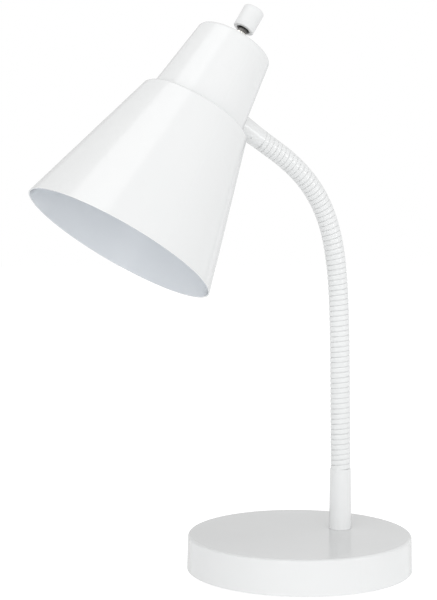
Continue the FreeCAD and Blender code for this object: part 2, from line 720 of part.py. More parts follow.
def make_head_fixings():
    """Upper ferrule, pipe, saddle washer and nut that join the neck to the cap."""
    outside = wall_distance(0.0)
    inside = wall_distance(value("shade_wall"))
    length = outside + value("ferrule_trim")
    taper = value("head_ferrule_foot_radius - head_ferrule_mouth_radius") / outside
    blank = turned("head_ferrule_blank", (
        ("spigot_radius", "0"),
        ("head_ferrule_mouth_radius", "0"),
        (f"head_ferrule_mouth_radius + {taper * length:.6f}", f"{length:.6f}"),
        ("pipe_radius", f"{length:.6f}"),
        ("pipe_radius", f"{outside:.6f} - pipe_grip - thread_runout"),
        ("pipe_bore", f"{outside:.6f} - pipe_grip - thread_runout"),
        ("pipe_bore", "-spigot_length"),
        ("spigot_radius", "-spigot_length"),
    ))
    bevel_edge(blank, "head_ferrule_mouth_radius", "0", "ferrule_edge / 2")
    blank.Placement = NECK_END
    dimple = cylinder("dimple", "dimple_radius", "pipe_radius", dimple_place(taper))
    ferrule = cut("neck_upper_ferrule", blank, cap_envelope("cap_outside", "0"), dimple)
    keep("neck_upper_ferrule", ferrule)

    washer_face = inside + value("saddle_thickness")
    reach = f"{washer_face - outside:.6f} + nut_thickness + pipe_stand_out"
    make_pipe("head_threaded_pipe", "pipe_grip", reach, at(z=outside, frame=NECK_END))
    blank = cylinder("saddle_round", "washer_radius", "2 * washer_radius",
                     at(z=washer_face - value("2 * washer_radius"), frame=NECK_END))
    hole = cylinder("saddle_hole", "pipe_radius + hole_clearance", "4 * washer_radius",
                    at(z=washer_face - value("3 * washer_radius"), frame=NECK_END))
    keep("head_saddle_washer", cut("head_saddle_washer", inside_cap("saddle_blank", blank), hole))
    flip = FreeCAD.Placement(Vector(), FreeCAD.Rotation(SIDE, 180))
    make_nut("head_nut", at(z=washer_face, frame=NECK_END).multiply(flip))


def inside_cap(name, tool):
    """Keep the part of a tool that lies inside the cap's wall."""
    common = doc.addObject("Part::Common", name)
    common.Base = tool
    common.Tool = cap_envelope(name + "_inside", f"shade_wall / cos(atan({CAP_SLOPE}))")
    return common


def dimple_place(taper):
    """Return the dimple's floor on the upper ferrule, looking outwards."""
    distance = value("dimple_distance")
    radius = value("head_ferrule_mouth_radius") + taper * distance - value("dimple_depth")
    turn = FreeCAD.Placement(Vector(), FreeCAD.Rotation(UP, -value("dimple_turn")))
    lay = FreeCAD.Placement(Vector(radius, 0, 0), FreeCAD.Rotation(Vector(0, 1, 0), 90))
    return at(z=distance, frame=NECK_END).multiply(turn).multiply(lay)


# Shade
def make_shade_cone():
    """Lower cone of the shade with a flat shoulder and a hole for the lamp holder."""
    slope = "(shade_radius - shoulder_radius) / shade_length"
    thick = f"shade_wall / cos(atan({slope}))"
    inner = f"shoulder_radius + {slope} * shade_wall - {thick}"
    cone = turned("shade_cone", (
        ("shade_radius", "0"),
        ("shoulder_radius", "shade_length"),
        ("holder_radius + hole_clearance", "shade_length"),
        ("holder_radius + hole_clearance", "shade_length - shade_wall"),
        (inner, "shade_length - shade_wall"),
        (f"shade_radius - {thick}", "0"),
    ))
    round_edge(cone, "shoulder_radius", "shade_length", "shoulder_round")
    round_edge(cone, inner, "shade_length - shade_wall", "shoulder_round - shade_wall")
    keep("shade_cone", cone, SHADE)


def make_shade_cap():
    """Upper shell of the shade: it stands on the shoulder and holds the switch and the neck."""
    thick = f"shade_wall / cos(atan({CAP_SLOPE}))"
    inner = f"cap_top_radius + {CAP_SLOPE} * shade_wall - {thick}"
    edge = "shade_length + cap_length"
    cap = turned("shade_cap_shell", (
        ("cap_radius", "shade_length"),
        ("cap_top_radius", edge),
        ("cap_flat_radius", CAP_TOP),
        ("bushing_radius + hole_clearance", CAP_TOP),
        ("bushing_radius + hole_clearance", f"{CAP_TOP} - shade_wall"),
        ("cap_flat_radius", f"{CAP_TOP} - shade_wall"),
        (inner, f"{edge} - shade_wall"),
        (f"cap_radius - {thick}", "shade_length"),
    ))
    round_edge(cap, "cap_top_radius", edge, "cap_edge_round")
    round_edge(cap, inner, f"{edge} - shade_wall", "cap_edge_round - shade_wall")
    round_edge(cap, "cap_flat_radius", CAP_TOP, "crown_round")
    round_edge(cap, "cap_flat_radius", f"{CAP_TOP} - shade_wall", "crown_round - shade_wall")
    cap.Placement = SHADE
    hole = cylinder("pipe_way", "pipe_radius + hole_clearance", "2 * pipe_grip",
                    at(z=wall_distance(0.0) - value("pipe_grip"), frame=NECK_END))
    keep("shade_cap", cut("shade_cap", cap, hole))


# Lamp holder
def make_holder():
    """Moulded lamp holder, its collar on the shade's shoulder."""
    holder = turned("lamp_holder", (
        ("holder_radius - holder_wall", HOLDER_MOUTH),
        ("holder_radius", HOLDER_MOUTH),
        ("holder_radius", "shade_length"),
        ("collar_radius", "shade_length"),
        ("collar_radius", "shade_length + collar_thickness"),
        ("holder_radius", "shade_length + collar_thickness"),
        ("holder_radius", SWITCH_FLOOR),
        ("0", SWITCH_FLOOR),
        ("0", f"{SWITCH_FLOOR} - holder_floor"),
        ("holder_radius - holder_wall", f"{SWITCH_FLOOR} - holder_floor"),
    ))
    keep("lamp_holder", holder, SHADE)


def make_shade_ring():
    """Screwed ring that clamps the cone's shoulder against the holder's collar."""
    face = "shade_length - shade_wall"
    ring = turned("shade_ring", (
        ("holder_radius + thread_clearance", f"{face} - ring_thickness"),
        ("ring_radius", f"{face} - ring_thickness"),
        ("ring_radius", face),
        ("holder_radius + thread_clearance", face),
    ))
    bevel_edge(ring, "ring_radius", f"{face} - ring_thickness", "ring_bevel")
    keep("shade_ring", ring, SHADE)


def make_screw_shell():
    """Sheet shell that takes the bulb's thread, with beads rolled on its outside."""
    low = f"({HOLDER_MOUTH} + screw_shell_inset)"
    corners = [("screw_shell_radius", low), ("screw_shell_radius + screw_shell_wall", low)]
    for bead in range(SHELL_BEADS):
        start = f"{low} + screw_shell_length * {bead + 0.5} / {SHELL_BEADS + 0.5}"
        corners += [
            ("screw_shell_radius + screw_shell_wall", start),
            ("screw_shell_radius + 2 * screw_shell_wall", f"{start} + screw_shell_wall"),
            ("screw_shell_radius + screw_shell_wall", f"{start} + 2 * screw_shell_wall"),
        ]
    corners += [
        ("screw_shell_radius + screw_shell_wall", f"{low} + screw_shell_length"),
        ("screw_shell_radius", f"{low} + screw_shell_length"),
    ]
    keep("bulb_screw_shell", turned("bulb_screw_shell", corners), SHADE)


def make_centre_contact():
    """Sprung brass strip on the holder's floor: a foot, a rise and a tongue."""
    floor = value(f"{SWITCH_FLOOR} - holder_floor")
    width = value("contact_width")
    thick = value("contact_thickness")
    rise = value("contact_rise")
    reach = value("screw_shell_radius - contact_inset")
    heel = -reach / 2
    tip = reach / 3
    corners = (
        (reach, floor),
        (heel, floor),
        (heel - rise / 2, floor - rise),
        (tip, floor - rise),
        (tip, floor - rise + thick),
        (heel - rise / 4, floor - rise + thick),
        (heel + thick, floor - thick),
        (reach, floor - thick),
    )
    wire = Part.makePolygon([Vector(x, -width / 2, z) for x, z in corners + corners[:1]])
    strip = Part.Face(wire).extrude(Vector(0, width, 0))
    strip.Placement = SHADE
    keep_shape("centre_contact", strip)


# Switch
def make_switch_housing():
    """Closed housing of the rotary switch between the holder and the cap."""
    inner = "switch_radius - switch_wall"
    housing = turned("switch_case", (
        ("0", SWITCH_FLOOR),
        ("switch_radius", SWITCH_FLOOR),
        ("switch_radius", SWITCH_TOP),
        ("shaft_radius + shaft_clearance", SWITCH_TOP),
        ("shaft_radius + shaft_clearance", f"{SWITCH_TOP} - switch_wall"),
        (inner, f"{SWITCH_TOP} - switch_wall"),
        (inner, f"{SWITCH_FLOOR} + switch_wall"),
        ("0", f"{SWITCH_FLOOR} + switch_wall"),
    ))
    bevel_edge(housing, "switch_radius", SWITCH_TOP, "bevel")
    housing.Placement = SHADE
    holes = [
        cylinder(f"terminal_way_{side}", "terminal_screw_radius + thread_clearance", "2 * switch_radius",
                 terminal_place(side, "0"))
        for side in (0, 1)
    ]
    keep("switch_housing", cut("switch_housing", housing, *holes))


def terminal_place(side, distance):
    """Return a frame on one side of the switch, its +Z pointing out along the lamp's X."""
    turn = FreeCAD.Placement(Vector(), FreeCAD.Rotation(UP, 180 * side))
    lay = FreeCAD.Placement(Vector(value(distance), 0, 0), FreeCAD.Rotation(Vector(0, 1, 0), 90))
    height = value(f"{SWITCH_FLOOR} + terminal_height")
    return at(z=height, frame=SHADE).multiply(turn).multiply(lay)


def make_terminal_screws():
    """A screw on each side of the switch for a wire."""
    screws = []
    for side in (0, 1):
        screw = turned(f"terminal_screw_{side}", (
            ("0", "-2 * switch_wall - blade_thickness"),
            ("terminal_screw_radius", "-2 * switch_wall - blade_thickness"),
            ("terminal_screw_radius", "0"),
            ("terminal_head_radius", "0"),
            ("terminal_head_radius", "terminal_head"),
            ("0", "terminal_head"),
        ))
        slot = box(f"terminal_slot_{side}", "terminal_slot", "2 * terminal_head_radius", "terminal_head",
                   at(-value("terminal_slot / 2"), -value("terminal_head_radius"),
                      value("terminal_head / 2")))
        part = cut(f"terminal_screw_{side}", screw, slot)
        part.Placement = terminal_place(side, "switch_radius")
        screws.append(part)
    keep("terminal_screws", group("terminal_screws", screws))


def make_contact_blades():
    """A sprung blade behind each terminal, standing on the switch's floor."""
    blades = []
    low = value(f"{SWITCH_FLOOR} + switch_wall")
    outer = value("switch_radius - switch_wall")
    half_width = value("blade_width / 2")
    back = math.sqrt(outer ** 2 - half_width ** 2) - value("blade_thickness")
    for side in (0, 1):
        turn = FreeCAD.Placement(Vector(), FreeCAD.Rotation(UP, 180 * side))
        place = at(z=low, frame=SHADE).multiply(turn).multiply(at(back, -half_width))
        blade = box(f"blade_{side}", "blade_thickness", "blade_width",
                    "2 * (terminal_height - switch_wall)", place)
        hole = cylinder(f"blade_way_{side}", "terminal_screw_radius + thread_clearance", "2 * switch_radius",
                        terminal_place(side, "0"))
        blades.append(cut(f"switch_blade_{side}", blade, hole))
    keep("switch_blades", group("switch_blades", blades))


def make_bushing():
    """Threaded bushing of the switch, its collar under the cap and its thread through it."""
    bushing = turned("switch_bushing", (
        ("shaft_radius + shaft_clearance", SWITCH_TOP),
        ("bushing_collar_radius", SWITCH_TOP),
        ("bushing_collar_radius", f"{CAP_TOP} - shade_wall"),
        ("bushing_radius", f"{CAP_TOP} - shade_wall"),
        ("bushing_radius", f"{CAP_TOP} + bushing_rise"),
        ("shaft_radius + shaft_clearance", f"{CAP_TOP} + bushing_rise"),
    ))
    bevel_edge(bushing, "bushing_radius", f"{CAP_TOP} + bushing_rise", "bevel")
    keep("switch_bushing", bushing, SHADE)


def make_ring_nut():
    """Round nut that clamps the cap to the switch."""
    nut = turned("switch_ring_nut", (
        ("bushing_radius + thread_clearance", CAP_TOP),
        ("ring_nut_radius", CAP_TOP),
        ("ring_nut_radius", f"{CAP_TOP} + ring_nut_thickness"),
        ("bushing_radius + thread_clearance", f"{CAP_TOP} + ring_nut_thickness"),
    ))
    bevel_edge(nut, "ring_nut_radius", f"{CAP_TOP} + ring_nut_thickness", "bevel")
    keep("switch_ring_nut", nut, SHADE)


def make_rotor():
    """Six-sided cam on the lower end of the shaft."""
    low = value(f"{SWITCH_FLOOR} + switch_wall + rotor_float")
    bar = hexagon("rotor_bar", "2 * rotor_radius * cos(30)", "rotor_height", at(z=low))
    hole = cylinder("rotor_hole", "shaft_radius", "rotor_height", at(z=low))
    keep("switch_rotor", cut("switch_rotor", bar, hole), SHADE)


def make_shaft():
    """Shaft from the cam up into the knob."""
    low = f"{SWITCH_FLOOR} + switch_wall + rotor_float"
    shaft = turned("switch_shaft", (
        ("0", low),
        ("shaft_radius", low),
        ("shaft_radius", f"{CAP_TOP} + knob_gap + knob_recess + knob_grip"),
        ("0", f"{CAP_TOP} + knob_gap + knob_recess + knob_grip"),
    ))
    keep("switch_shaft", shaft, SHADE)


def make_knob():
    """Hollow round knob pushed onto the shaft."""
    low = f"{CAP_TOP} + knob_gap"
    knob = turned("switch_knob", (
        ("knob_radius", low),
        ("knob_radius", f"{low} + knob_length"),
        ("0", f"{low} + knob_length"),
        ("0", f"{low} + knob_recess + knob_grip"),
        ("shaft_radius", f"{low} + knob_recess + knob_grip"),
        ("shaft_radius", f"{low} + knob_recess"),
        ("knob_recess_radius", f"{low} + knob_recess"),
        ("knob_recess_radius", low),
    ))
    round_edge(knob, "knob_radius", f"{low} + knob_length", "knob_edge_round")
    bevel_edge(knob, "knob_radius", low, "bevel")
    keep("switch_knob", knob, SHADE)


def check_pieces():
    """Stop if any object failed or any piece is empty or not valid."""
    for thing in doc.Objects:
        if "Invalid" in thing.State or "Error" in thing.State:
            raise ValueError(f"{thing.Label} failed: {thing.State}")
    for thing in NODES:
        shape = thing.Shape
        if shape.isNull() or not shape.isValid() or shape.Volume <= 0:
            raise ValueError(f"{thing.Label} has no valid shape")


def write_pieces():
    """Write each piece to its own file."""
    os.makedirs("parts", exist_ok=True)
    for thing in NODES:
        thing.Shape.exportStep(f"parts/{thing.Label}.step")
        print(f"{thing.Label}: {thing.Shape.Volume:.1f} mm3, {len(thing.Shape.Solids)} solid(s)")


make_base_shell()
make_base_weight()
make_bottom_plate()
make_foot_pad()
make_plate_screws()
make_gland()
make_base_fixings()
make_lower_ferrule()
make_neck()
make_head_fixings()
make_shade_cone()
make_shade_cap()
make_holder()
make_shade_ring()
make_screw_shell()
make_centre_contact()
make_switch_housing()
make_terminal_screws()
make_contact_blades()
make_bushing()
make_ring_nut()
make_rotor()
make_shaft()
make_knob()
doc.recompute()
check_pieces()
write_pieces()
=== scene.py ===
"""Looks of a white gooseneck desk lamp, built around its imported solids.

Metres. +Z is up, the front of the lamp is -Y, and the origin is on the table under the middle
of the base. The neck bends in the YZ plane at rest.
"""
import math

import bmesh
import bpy
from mathutils import Matrix, Vector


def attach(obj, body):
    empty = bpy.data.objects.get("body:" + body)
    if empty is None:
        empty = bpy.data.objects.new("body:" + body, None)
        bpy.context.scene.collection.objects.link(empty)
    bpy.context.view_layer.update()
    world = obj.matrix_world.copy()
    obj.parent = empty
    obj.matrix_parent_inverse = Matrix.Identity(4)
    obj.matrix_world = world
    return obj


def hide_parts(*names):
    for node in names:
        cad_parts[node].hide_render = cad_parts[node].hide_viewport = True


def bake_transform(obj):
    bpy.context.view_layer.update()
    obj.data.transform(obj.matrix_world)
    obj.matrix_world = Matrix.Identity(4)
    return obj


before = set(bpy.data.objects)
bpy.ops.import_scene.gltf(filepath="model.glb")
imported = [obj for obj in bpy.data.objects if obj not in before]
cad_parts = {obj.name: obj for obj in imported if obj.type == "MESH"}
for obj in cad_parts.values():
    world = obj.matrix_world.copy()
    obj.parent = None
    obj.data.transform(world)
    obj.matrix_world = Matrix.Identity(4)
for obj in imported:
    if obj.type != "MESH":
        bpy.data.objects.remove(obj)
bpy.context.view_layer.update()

MM = 0.001
SIDE = Vector((1, 0, 0))
UP = Vector((0, 0, 1))

# Sizes that the pieces share with the solids, in millimetres
NECK_START = (32.3, 64.5)
RIB_PITCH = 3.48
RIB_RADIUS = 6.6
GROOVE_RADIUS = 5.75
NECK_BORE = 5.0
WINDING_START = 0.013
NECK_LEAN = 0.6
NECK_TURN = 66.4
NECK_TURN_MIDDLE = 187.2
NECK_TURN_SPREAD = 23.1
STRAIGHT_END = 13.2
RIBS_PER_STUB = 5
RIBS_PER_LINK = 4
LINKS = 15
NECK_LENGTH = (2 * RIBS_PER_STUB + LINKS * RIBS_PER_LINK) * RIB_PITCH
NECK_TO_SHADE_AXIS = 48.8
FERRULE_HEIGHT = 108.85
SHADE_TILT = math.radians(32.94)


# Lines that pieces follow
def neck_angle(distance):
    """Return how far the neck has turned from upright to the front, in radians."""
    distance = min(distance, NECK_LENGTH - STRAIGHT_END)
    bend = 1 + math.exp((NECK_TURN_MIDDLE - distance) / NECK_TURN_SPREAD)
    return math.radians(NECK_LEAN + NECK_TURN / bend)


def neck_line(step):
    """Add up short steps along the neck, and return its points as (y, z)."""
    y, z = NECK_START
    points = [(y, z)]
    for index in range(math.ceil(NECK_LENGTH / step)):
        angle = neck_angle((index + 0.5) * step)
        y -= step * math.sin(angle)
        z += step * math.cos(angle)
        points.append((y, z))
    return points


NECK_STEP = 0.1
CUT_TOLERANCE = 1e-5
NECK_POINTS = neck_line(NECK_STEP)


def on_neck(distance):
    """Return the place, across and along directions at a distance along the neck's middle line."""
    inside = min(max(distance, 0.0), NECK_LENGTH)
    index = min(int(inside / NECK_STEP), len(NECK_POINTS) - 2)
    share = inside / NECK_STEP - index
    (y0, z0), (y1, z1) = NECK_POINTS[index], NECK_POINTS[index + 1]
    angle = neck_angle(inside)
    along = Vector((0, -math.sin(angle), math.cos(angle)))
    across = Vector((0, math.cos(angle), math.sin(angle)))
    place = Vector((0, y0 + share * (y1 - y0), z0 + share * (z1 - z0)))
    return place + (distance - inside) * along, across, along


NECK_END, _, NECK_END_ALONG = on_neck(NECK_LENGTH)
SHADE_AXIS = Vector((0, math.sin(SHADE_TILT), math.cos(SHADE_TILT)))
SHADE_ACROSS = Vector((0, math.cos(SHADE_TILT), -math.sin(SHADE_TILT)))
SHADE_MOUTH = NECK_END + NECK_TO_SHADE_AXIS * NECK_END_ALONG - FERRULE_HEIGHT * SHADE_AXIS


def on_shade_axis(distance):
    """Return the place, across and along directions at a distance above the shade's opening."""
    return SHADE_MOUTH + distance * SHADE_AXIS, SHADE_ACROSS, SHADE_AXIS


# Meshes
def new_object(name, bm, smooth_angle=None):
    """Turn millimetres into metres and make the finished object."""
    bmesh.ops.scale(bm, vec=(MM, MM, MM), verts=bm.verts)
    bmesh.ops.recalc_face_normals(bm, faces=bm.faces)
    for face in bm.faces:
        face.smooth = True
    if smooth_angle is not None:
        for edge in bm.edges:
            if len(edge.link_faces) == 2 and edge.calc_face_angle() > smooth_angle:
                edge.smooth = False
    mesh = bpy.data.meshes.new(name)
    bm.to_mesh(mesh)
    bm.free()
    thing = bpy.data.objects.new(name, mesh)
    bpy.context.scene.collection.objects.link(thing)
    return thing


def ring(bm, line, distance, radius, around):
    """Add a closed ring of points square to a line."""
    place, across, _ = line(distance)
    points = []
    for index in range(around):
        turn = 2 * math.pi * index / around
        points.append(bm.verts.new(place + radius * (math.cos(turn) * SIDE + math.sin(turn) * across)))
    return points


def join_rings(bm, low, high):
    """Join two rings of as many points with faces."""
    count = len(low)
    return [
        bm.faces.new((low[i], low[(i + 1) % count], high[(i + 1) % count], high[i]))
        for i in range(count)
    ]


def turn_at(point, place, across):
    """Return where a point lies round a line, as a share of one turn."""
    away = point.co - place
    return math.atan2(away.dot(across), away.x) / (2 * math.pi) % 1


def close_end(bm, outer, inner, place, across):
    """Fill the flat end between an outer loop of points and a ring inside it."""
    loops = []
    for points in (outer, inner):
        placed = sorted(((turn_at(p, place, across), p) for p in points), key=lambda pair: pair[0])
        loops.append(placed + [(placed[0][0] + 1, placed[0][1])])
    i = j = 0
    far, near = loops
    while i < len(far) - 1 or j < len(near) - 1:
        step_far = j == len(near) - 1 or (i < len(far) - 1 and far[i + 1][0] <= near[j + 1][0])
        if step_far:
            bm.faces.new((far[i][1], far[i + 1][1], near[j][1]))
            i += 1
        else:
            bm.faces.new((far[i][1], near[j + 1][1], near[j][1]))
            j += 1


def wound_tube(bm, line, low, high, pitch, around, profile, bore, bore_step):
    """Add a tube with a right-handed winding on its outside and a plain bore.

    profile lists (share of the pitch, radius) over one turn of the winding."""
    rows = len(profile)
    first = math.floor(low / pitch) - 2
    last = math.ceil(high / pitch) + 1
    grid = []
    for turn_index in range(first, last + 1):
        for share, radius in profile:
            row = []
            for index in range(around):
                part = index / around
                distance = (turn_index + share + part + WINDING_START) * pitch
                place, across, _ = line(distance)
                turn = 2 * math.pi * part
                out = math.cos(turn) * SIDE + math.sin(turn) * across
                row.append(bm.verts.new(place + radius * out))
            grid.append(row)
    faces = []
    for r in range(len(grid) - rows - 1):
        for i in range(around):
            if i + 1 < around:
                near, far = grid[r][i + 1], grid[r + 1][i + 1]
            else:
                near, far = grid[r + rows][0], grid[r + rows + 1][0]
            faces.append(bm.faces.new((grid[r][i], near, far, grid[r + 1][i])))
    made = {v for f in faces for v in f.verts}
    bmesh.ops.delete(bm, geom=[v for row in grid for v in row if v not in made], context="VERTS")
    ends = []
    for distance, sign in ((low, -1), (high, 1)):
        place, _, along = line(distance)
        alive = [f for f in faces if f.is_valid]
        verts = {v for f in alive for v in f.verts}
        edges = {e for f in alive for e in f.edges}
        result = bmesh.ops.bisect_plane(
            bm, geom=alive + list(edges) + list(verts), dist=CUT_TOLERANCE,
            plane_co=place, plane_no=sign * along, clear_outer=True,
        )
        faces = [g for g in result["geom"] if isinstance(g, bmesh.types.BMFace) and g.is_valid]
        ends.append([g for g in result["geom_cut"] if isinstance(g, bmesh.types.BMVert)])
    steps = max(1, round((high - low) / bore_step))
    rings = [ring(bm, line, low + (high - low) * k / steps, bore, around) for k in range(steps + 1)]
    for below, above in zip(rings, rings[1:]):
        join_rings(bm, below, above)
    for outer, inner, distance in zip(ends, (rings[0], rings[-1]), (low, high)):
        place, across, _ = line(distance)
        close_end(bm, [p for p in outer if p.is_valid], inner, place, across)


# Materials
def tree(name):
    """Make an empty node material and return it with its nodes, links and surface shader."""
    material = bpy.data.materials.new(name)
    material.use_nodes = True
    nodes, links = material.node_tree.nodes, material.node_tree.links
    return material, nodes, links, nodes["Principled BSDF"]


def noise(nodes, links, coords, scale, detail=3.0, roughness=0.5):
    """Add a noise texture on given coordinates."""
    texture = nodes.new("ShaderNodeTexNoise")
    texture.inputs["Scale"].default_value = scale
    texture.inputs["Detail"].default_value = detail
    texture.inputs["Roughness"].default_value = roughness
    links.new(coords, texture.inputs["Vector"])
    return texture.outputs["Fac"]


def spread(nodes, links, factor, low, high):
    """Stretch a noise factor over a range of plain numbers."""
    stretch = nodes.new("ShaderNodeMapRange")
    stretch.inputs["From Min"].default_value = 0.3
    stretch.inputs["From Max"].default_value = 0.7
    stretch.inputs["To Min"].default_value = low
    stretch.inputs["To Max"].default_value = high
    links.new(factor, stretch.inputs["Value"])
    return stretch.outputs["Result"]


def between(nodes, links, factor, first, second):
    """Mix two colours by a noise factor."""
    mix = nodes.new("ShaderNodeMix")
    mix.data_type = "RGBA"
    mix.inputs["A"].default_value = (*first, 1)
    mix.inputs["B"].default_value = (*second, 1)
    links.new(factor, mix.inputs["Factor"])
    return mix.outputs["Result"]


def surface(name, first, second, rough, metallic=0.0, grain=900.0, bump=0.1, height=2e-5,
            patch=40.0, coat=0.0, specular=0.5, stretched=None):
    """Make a procedural material: two near colours in soft patches, uneven gloss, fine relief."""
    material, nodes, links, shader = tree(name)
    place = nodes.new("ShaderNodeTexCoord")
    coords = place.outputs["Object"]
    fine = coords
    if stretched is not None:
        scale = nodes.new("ShaderNodeMapping")
        scale.inputs["Scale"].default_value = stretched
        links.new(coords, scale.inputs["Vector"])
        fine = scale.outputs["Vector"]
    broad = noise(nodes, links, coords, patch)
    detail = noise(nodes, links, fine, grain, 2.0)
    links.new(between(nodes, links, broad, first, second), shader.inputs["Base Color"])
    links.new(spread(nodes, links, broad, *rough), shader.inputs["Roughness"])
    shader.inputs["Metallic"].default_value = metallic
    shader.inputs["Specular IOR Level"].default_value = specular
    shader.inputs["Coat Weight"].default_value = coat
    shader.inputs["Coat Roughness"].default_value = 0.05
    relief = nodes.new("ShaderNodeBump")
    relief.inputs["Strength"].default_value = bump
    relief.inputs["Distance"].default_value = height
    links.new(detail, relief.inputs["Height"])
    links.new(relief.outputs["Normal"], shader.inputs["Normal"])
    return material


paint = surface("white_gloss_paint", (0.83, 0.84, 0.84), (0.85, 0.855, 0.855), (0.13, 0.18),
                grain=700, bump=0.06, height=3e-5, patch=25)
cast = surface("rough_casting", (0.05, 0.05, 0.052), (0.09, 0.088, 0.085), (0.55, 0.8), metallic=0.6,
               grain=1200, bump=0.7, height=3e-4, patch=120)
zinc = surface("zinc_plate", (0.62, 0.63, 0.66), (0.7, 0.7, 0.7), (0.22, 0.38), metallic=1.0,
               grain=1500, bump=0.15, height=3e-5, patch=150)
foam = surface("foot_foam", (0.74, 0.74, 0.73), (0.8, 0.8, 0.79), (0.85, 0.95),
               grain=2500, bump=0.8, height=2e-4, patch=60, specular=0.2)
rubber = surface("white_rubber", (0.74, 0.74, 0.73), (0.79, 0.79, 0.78), (0.45, 0.6),
                 grain=1500, bump=0.3, height=5e-5, patch=80)
moulded = surface("black_moulding", (0.012, 0.012, 0.013), (0.02, 0.02, 0.021), (0.35, 0.5),
                  grain=2200, bump=0.25, height=5e-5, patch=80)
aluminium = surface("bright_aluminium", (0.8, 0.8, 0.81), (0.88, 0.88, 0.88), (0.18, 0.3), metallic=1.0,
                    grain=1800, bump=0.1, height=2e-5, patch=100)
brass = surface("bright_brass", (0.72, 0.5, 0.2), (0.8, 0.6, 0.28), (0.2, 0.34), metallic=1.0,
                grain=1500, bump=0.1, height=2e-5, patch=120)
nickel = surface("polished_nickel", (0.66, 0.65, 0.62), (0.72, 0.71, 0.68), (0.06, 0.12), metallic=1.0,
                 grain=2000, bump=0.05, height=1e-5, patch=200)
# Painted shade: the switch bushing is coloured near black, standing in for the shade in the knob's
# hollow.
shaded_nickel = surface("nickel_with_painted_shade", (0.1, 0.095, 0.09), (0.2, 0.195, 0.19), (0.12, 0.2), metallic=1.0,
                      grain=900, bump=0.3, height=1e-4, patch=300)
plastic = surface("white_moulding", (0.81, 0.82, 0.82), (0.83, 0.835, 0.835), (0.26, 0.34),
                  grain=1600, bump=0.08, height=3e-5, patch=120)

def painted_rim_shade(material, darkest, specular=0.5):
    """Paint shade on the colour, and dim the mirror, of a paint where it turns away from the eye: a
    painted grey rim along the outline.
    """
    nodes, links = material.node_tree.nodes, material.node_tree.links
    shader = nodes["Principled BSDF"]
    plain = shader.inputs["Base Color"].links[0].from_socket
    facing = nodes.new("ShaderNodeLayerWeight")
    facing.inputs["Blend"].default_value = 0.5
    edge = nodes.new("ShaderNodeMapRange")
    edge.inputs["From Min"].default_value = 0.72
    edge.inputs["To Min"].default_value = 1.0
    edge.inputs["To Max"].default_value = darkest
    links.new(facing.outputs["Facing"], edge.inputs["Value"])
    dim = nodes.new("ShaderNodeVectorMath")
    dim.operation = "SCALE"
    links.new(plain, dim.inputs[0])
    links.new(edge.outputs["Result"], dim.inputs["Scale"])
    links.new(dim.outputs["Vector"], shader.inputs["Base Color"])
    mirror = nodes.new("ShaderNodeMapRange")
    mirror.inputs["From Min"].default_value = 0.6
    mirror.inputs["To Min"].default_value = specular
    mirror.inputs["To Max"].default_value = 0.0
    links.new(facing.outputs["Facing"], mirror.inputs["Value"])
    links.new(mirror.outputs["Result"], shader.inputs["Specular IOR Level"])


def vector_step(nodes, links, operation, first, second):
    """Add a vector operation on two sockets or values, and return its result."""
    step = nodes.new("ShaderNodeVectorMath")
    step.operation = operation
    for socket, given in zip(step.inputs, (first, second)):
        if isinstance(given, bpy.types.NodeSocket):
            links.new(given, socket)
        else:
            socket.default_value = given
    return step.outputs["Value" if operation == "DOT_PRODUCT" else "Vector"]


def painted_inner_shade(material, place, axis, colour):
    """Paint shade on the faces of a hollow turned shape that look at its axis: a cooler, darker colour
    inside.
    """
    nodes, links = material.node_tree.nodes, material.node_tree.links
    shader = nodes["Principled BSDF"]
    outside = shader.inputs["Base Color"].links[0].from_socket
    coords = nodes.new("ShaderNodeTexCoord")
    offset = vector_step(nodes, links, "SUBTRACT", coords.outputs["Object"], place)
    sideways = vector_step(nodes, links, "CROSS_PRODUCT", offset, axis)
    outward = vector_step(nodes, links, "CROSS_PRODUCT", axis, sideways)
    facing = vector_step(nodes, links, "DOT_PRODUCT", coords.outputs["Normal"], outward)
    test = nodes.new("ShaderNodeMath")
    test.operation = "LESS_THAN"
    test.inputs[1].default_value = 0.0
    links.new(facing, test.inputs[0])
    mix = nodes.new("ShaderNodeMix")
    mix.data_type = "RGBA"
    mix.inputs["B"].default_value = (*colour, 1)
    links.new(test.outputs["Value"], mix.inputs["Factor"])
    links.new(outside, mix.inputs["A"])
    links.new(mix.outputs["Result"], shader.inputs["Base Color"])


shade_paint = surface("white_shade_paint", (0.83, 0.84, 0.84), (0.85, 0.855, 0.855), (0.13, 0.18),
                      grain=700, bump=0.06, height=3e-5, patch=25)
# Painted shade: the lampshade's inside gets a cooler, darker white than its outside.
painted_inner_shade(shade_paint, SHADE_MOUTH * MM, SHADE_AXIS, (0.79, 0.82, 0.855))

# Painted shade: these whites turn darker grey towards their outlines.
for white in (paint, shade_paint, plastic):
    painted_rim_shade(white, 0.55)

FINISHES = (
    (paint, ("base_shell", "neck_lower_ferrule", "neck_upper_ferrule", "shade_cap")),
    (shade_paint, ("shade_cone",)),
    (cast, ("base_weight",)),
    (zinc, ("base_bottom_plate", "base_plate_screws", "base_threaded_pipe", "base_washer",
            "base_spring_washer", "base_nut", "head_threaded_pipe", "head_saddle_washer",
            "head_nut", "terminal_screws", "switch_shaft")),
    (foam, ("base_foot_pad",)),
    (rubber, ("cord_gland",)),
    (moulded, ("lamp_holder", "switch_housing", "shade_ring", "switch_rotor")),
    (aluminium, ("bulb_screw_shell",)),
    (brass, ("centre_contact", "switch_blades")),
    (shaded_nickel, ("switch_bushing",)),
    (nickel, ("switch_ring_nut",)),
    (plastic, ("switch_knob",)),
)


def finish_with(thing, material):
    """Give an object one material."""
    thing.data.materials.clear()
    thing.data.materials.append(material)


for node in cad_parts.values():
    finish_with(node, paint)
for material, names in FINISHES:
    for name in names:
        finish_with(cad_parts[name], material)


# Neck: a wound skin in stretches, each lying over one joint of the chain
CHAIN = ["base"] + [f"neck_{i:02d}" for i in range(1, LINKS + 1)] + ["head"]
RIB_SAMPLES = 16
NECK_AROUND = 64
# One bending piece tears here with every joint at its upper limit, so this stretch is two stiff halves
HALVED_JOINT = 12


